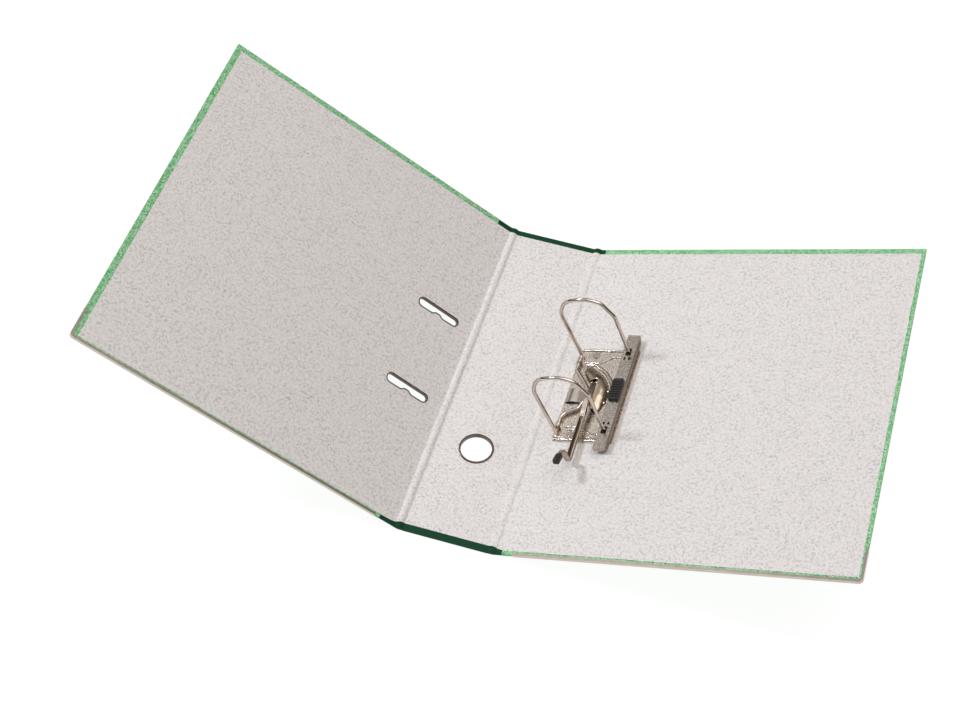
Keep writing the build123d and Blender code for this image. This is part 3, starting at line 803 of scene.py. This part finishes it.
def cloth_paint(source):
    """Dark green book cloth with a fine even weave."""
    paint = Paint(f"cloth_{source}", source)
    split = paint.node("ShaderNodeSeparateXYZ")
    paint.feed(split.inputs[0], paint.place)
    pitch = 2 * pi / 0.55
    warp = paint.math("SINE", paint.math("MULTIPLY", split.outputs[0], pitch))
    weft = paint.math("SINE", paint.math("MULTIPLY", split.outputs[1], pitch))
    weave = paint.math("MULTIPLY", warp, weft)
    worn = paint.noise(0.12, 3.0, 0.6)
    colour = paint.mix(worn, rgb("063a22"), rgb("0c4a2d"))
    colour = paint.mix(paint.ramp(weave, -1.0, 1.0, 0.0, 0.35), colour, rgb("052a19"))
    paint.set(color=colour, roughness=paint.ramp(worn, 0.2, 0.8, 0.6, 0.75), specular=0.18)
    paint.bump(paint.math("ADD", paint.math("MULTIPLY", weave, 0.5), paint.noise(1.5)), 0.05, 0.5)
    return paint.material


def board_paint():
    """Grey pulp board with fibres."""
    paint = Paint("grey_board")
    fibre = paint.noise(1.4, 4.0, 0.7)
    paint.set(color=paint.mix(fibre, rgb("8f8a80"), rgb("b3ada2")), roughness=0.85, specular=0.2)
    paint.bump(fibre, 0.12, 0.6)
    return paint.material


def label_paint():
    """Plain white spine label with ruled lines."""
    paint = Paint("label_paper")
    split = paint.node("ShaderNodeSeparateXYZ")
    paint.feed(split.inputs[0], paint.place)
    x, y = split.outputs[0], split.outputs[1]
    rule = paint.math("FRACT", paint.math("DIVIDE", y, 19.0))
    rule = paint.math("ABSOLUTE", paint.math("SUBTRACT", rule, 0.5))
    rule = paint.ramp(rule, 0.0, 0.022, 1.0, 0.0)
    within = paint.ramp(paint.math("ABSOLUTE", x), 25.0, 25.4, 1.0, 0.0)
    grain = paint.noise(1.2, 3.0, 0.6)
    colour = paint.mix(grain, rgb("f3f1ec"), rgb("e9e6df"))
    colour = paint.mix(paint.math("MULTIPLY", rule, within), colour, rgb("5b6c62"))
    paint.set(color=colour, roughness=0.6, specular=0.3)
    paint.bump(grain, 0.03, 0.3)
    return paint.material


def metal_paint(name, colour, dark, rough, relief, scale, source="object", edge="ffffff"):
    """Plated metal: slightly uneven tint and gloss, relief of a given size, and the tint of its edges,
    which when dark is a painted shade along the grazing edges.
    """
    paint = Paint(name, source)
    tint = paint.noise(0.12, 3.0, 0.6)
    fine = paint.noise(scale, 2.0, 0.6)
    paint.set(color=paint.mix(tint, rgb(colour), rgb(dark)), metallic=1.0)
    paint.set(roughness=paint.ramp(paint.noise(0.3, 3.0, 0.7), 0.25, 0.75, rough * 0.8, rough * 1.25))
    paint.shader.inputs["Specular Tint"].default_value = rgb(edge)
    paint.bump(fine, relief, 0.6)
    return paint.material


def hammered_paint(name, colour, dark, side=None):
    """Stamped sheet with a fine hammered grain; on the faces that look one way it is plain and painted
    darker, a painted shade.
    """
    paint = Paint(name)
    grain = paint.noise(1.15, 2.0, 0.6)
    fine = paint.noise(2.2, 2.0, 0.6)
    tint = paint.noise(0.9, 4.0, 0.7)
    base = paint.mix(paint.ramp(tint, 0.3, 0.7), rgb(dark), rgb(colour))
    height = paint.math("ADD", grain, paint.math("MULTIPLY", fine, 0.35))
    if side:
        facing = paint.node("ShaderNodeVectorMath", operation="DOT_PRODUCT")
        paint.feed(facing.inputs[0], paint.node("ShaderNodeTexCoord").outputs["Normal"])
        facing.inputs[1].default_value = side
        plain_shaded_side = paint.ramp(facing.outputs["Value"], 0.6, 0.8)
        # Painted shade: faces that look the given way take a plain, darker brown.
        base = paint.mix(plain_shaded_side, base, rgb("8b7d70"))
        height = paint.math("MULTIPLY", height, paint.math("SUBTRACT", 1.0, plain_shaded_side))
    paint.set(color=base, metallic=1.0)
    paint.set(roughness=paint.ramp(tint, 0.25, 0.75, 0.2, 0.3))
    paint.bump(height, 0.17, 0.8)
    return paint.material


def plastic_paint():
    """Black moulded plastic with a light grain and dull wear."""
    paint = Paint("black_plastic")
    wear = paint.noise(0.4, 4.0, 0.65)
    paint.set(color=paint.mix(wear, rgb("161616"), rgb("2a2928")), specular=0.45)
    paint.set(roughness=paint.ramp(wear, 0.25, 0.75, 0.38, 0.55))
    paint.bump(paint.noise(3.5, 2.0, 0.6), 0.05, 0.5)
    return paint.material


def dress(piece, material):
    """Gives a piece one material."""
    piece.data.materials.clear()
    piece.data.materials.append(material)


# ------------------------------------------------------------------ the object

# The way the bar's outer side faces, out along the back cover; that side gets a painted shade.
BAR_SIDE = (cos(TILT[1]), 0.0, sin(TILT[1]))

lining_flat = lining_paint("flat")
lining_object = lining_paint("object")
cloth_flat = cloth_paint("flat")
cloth_object = cloth_paint("object")
marbled = marbled_paint()
board = board_paint()
# Painted shade in part: the trim's dark tone stands in for the shade on the inner walls of the slots and
# the ring.
shaded_trim = metal_paint("nickel_trim", "6e635a", "4d443d", 0.26, 0.04, 0.8)
rail_metal = metal_paint("rail_metal", "cfc5ba", "b0a59a", 0.2, 0.04, 0.5)
rivet_metal = metal_paint("rivet_metal", "b9aea2", "958a7e", 0.22, 0.04, 0.8)
# Painted shade: the dark edge tints of the lever and the wires darken their grazing edges.
lever_metal = metal_paint("lever_metal", "e2d6cb", "c6b7a9", 0.22, 0.03, 0.5, edge="5a493c")
# Painted shade: a darker, duller metal for the floor of the lever's groove, standing in for the shade
# inside it.
groove_painted_shade = metal_paint("groove_painted_shade", "7d7166", "5c5249", 0.4, 0.03, 0.5)
wire_metal = metal_paint("nickel_wire", "eadfd5", "d3c4b6", 0.16, 0.02, 0.6, edge="33271e")
plate_metal = hammered_paint("nickel_plate", "f0e7de", "a89c90")
bar_metal = hammered_paint("bar_metal", "d3cac1", "857c74", BAR_SIDE)
bracket_metal = metal_paint("bracket_plate", "cdbfae", "a8957f", 0.24, 0.05, 0.16)
blade_metal = metal_paint("spring_blade", "cfc8c0", "b4aba1", 0.18, 0.02, 0.5, "flat")
# Painted shade: the compressor spring is made dark so that the holes in the bar read as shaded openings.
dark_steel_painted_shade = metal_paint("dark_steel_painted_shade", "3a3530", "241f1b", 0.4, 0.03, 0.6)
black = plastic_paint()

for side in (-1, 1):
    dress(hinge_lining(side), lining_flat)
    dress(hinge_cloth(side), cloth_flat)
dress(blade_spring(), blade_metal)

dome_piece = bracket_dome()
dress(dome_piece, bracket_metal)
dome_piece.data.materials.append(wire_metal)
for polygon in dome_piece.data.polygons[-len(BLISTERS) * BLISTER_FACES :]:
    polygon.material_index = 1

lever_piece = lever_strip()
dress(lever_piece, lever_metal)
# The groove faces take the darker metal, a painted shade inside the groove.
lever_piece.data.materials.append(groove_painted_shade)
groove_start, groove_end = (ring * RING_FACES for ring in GROOVE_RINGS)
for polygon in lever_piece.data.polygons[groove_start:groove_end]:
    if polygon.index % RING_FACES in GROOVE_FACES:
        polygon.material_index = 1

finishes = {
    "spine_board": board,
    "front_cover_board": board,
    "back_cover_board": board,
    "spine_cloth": cloth_object,
    "spine_lining": lining_object,
    "spine_label": label_paint(),
    "thumb_ring": shaded_trim,
    "front_cover_paper": marbled,
    "back_cover_paper": marbled,
    "front_edge_protector": rail_metal,
    "back_edge_protector": rail_metal,
    # The slot rims' dark trim is partly painted shade on the slot walls.
    "upper_slot_rim": shaded_trim,
    "lower_slot_rim": shaded_trim,
    "base_plate": plate_metal,
    "mechanism_rivets": rivet_metal,
    "upper_post": wire_metal,
    "lower_post": wire_metal,
    "bow": wire_metal,
    "lever_pivot_pin": rivet_metal,
    "lever_cap": black,
    "lever_roller": rivet_metal,
    "roller_pin": rivet_metal,
    "compressor_bar": bar_metal,
    # The spring's dark metal is painted shade for the holes in the bar.
    "compressor_spring": dark_steel_painted_shade,
    "compressor_catch": black,
}
for name, material in finishes.items():
    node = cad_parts[name]
    dress(node, material)
    for polygon in node.data.polygons:
        polygon.use_smooth = True
    node.data.set_sharp_from_angle(angle=radians(32))

# ------------------------------------------------------------------ floor, light and camera

FLOOR_HALF = 6.0
FLOOR_GAP = 0.0005
floor_mesh = bpy.data.meshes.new("floor")
floor_corners = [(x * FLOOR_HALF, y * FLOOR_HALF, 0) for x, y in ((-1, -1), (1, -1), (1, 1), (-1, 1))]
floor_mesh.from_pydata(floor_corners, [], [(0, 1, 2, 3)])
floor = bpy.data.objects.new("floor", floor_mesh)
floor.location.z = cad_low.z - FLOOR_GAP
bpy.context.scene.collection.objects.link(floor)
floor_material = bpy.data.materials.new("floor")
floor_material.use_nodes = True
floor_shader = floor_material.node_tree.nodes["Principled BSDF"]
floor_shader.inputs["Base Color"].default_value = (0.12, 0.12, 0.12, 1)
floor_shader.inputs["Roughness"].default_value = 0.9
floor_shader.inputs["Specular IOR Level"].default_value = 0.1
floor_shader.inputs["Emission Color"].default_value = (1, 1, 1, 1)
floor_shader.inputs["Emission Strength"].default_value = 0.93
floor_mesh.materials.append(floor_material)


def lamp(name, place, aim, size, power, colour=(1, 1, 1)):
    """Square area light that faces a point."""
    data = bpy.data.lights.new(name, "AREA")
    data.size = size
    data.energy = power
    data.color = colour
    light = bpy.data.objects.new(name, data)
    light.location = place
    light.rotation_mode = "QUATERNION"
    light.rotation_quaternion = (Vector(aim) - Vector(place)).to_track_quat("-Z", "Y")
    bpy.context.scene.collection.objects.link(light)


lamp("key", (-1.75, -0.05, 1.65), (0.05, 0, 0.03), 0.3, 24, (0.9, 0.985, 1.05))
lamp("top", (0.3, 0.3, 2.5), (0, 0, 0), 2.2, 29, (1.0, 0.955, 0.945))
lamp("back", (-1.5, 1.5, 1.55), (0, 0, 0), 1.1, 2.6, (1.0, 0.985, 0.98))

world = bpy.data.worlds.new("studio")
world.use_nodes = True
bpy.context.scene.world = world
sky = world.node_tree
coordinates = sky.nodes.new("ShaderNodeTexCoord")
split = sky.nodes.new("ShaderNodeSeparateXYZ")
ramp = sky.nodes.new("ShaderNodeValToRGB")
sky.links.new(coordinates.outputs["Generated"], split.inputs[0])
sky.links.new(split.outputs["Z"], ramp.inputs["Fac"])
stops = ramp.color_ramp.elements
stops[0].position = 0.0
stops[0].color = (0.04, 0.032, 0.026, 1)
stops[1].position = 0.8
stops[1].color = (0.78, 0.76, 0.74, 1)
middle = stops.new(0.38)
middle.color = (0.11, 0.095, 0.082, 1)
sky.links.new(ramp.outputs["Color"], sky.nodes["Background"].inputs["Color"])
sky.nodes["Background"].inputs["Strength"].default_value = 0.7

CAMERA_PLACE = Vector((0.2105, -0.7697, 1.1091))
CAMERA_AIM = Vector((0.0290, 0.0325, 0.0))
CAMERA_ROLL = radians(3.84)
camera_data = bpy.data.cameras.new("camera")
camera_data.lens = 62.18
camera_data.sensor_width = 36.0
camera_data.shift_x = -0.0718
camera_data.clip_start = 0.01
camera = bpy.data.objects.new("camera", camera_data)
camera.location = CAMERA_PLACE
camera.rotation_mode = "QUATERNION"
look = (CAMERA_AIM - CAMERA_PLACE).to_track_quat("-Z", "Y")
camera.rotation_quaternion = look @ Quaternion((0, 0, 1), CAMERA_ROLL)
bpy.context.scene.collection.objects.link(camera)
bpy.context.scene.camera = camera
bpy.context.scene.view_settings.view_transform = "Standard"
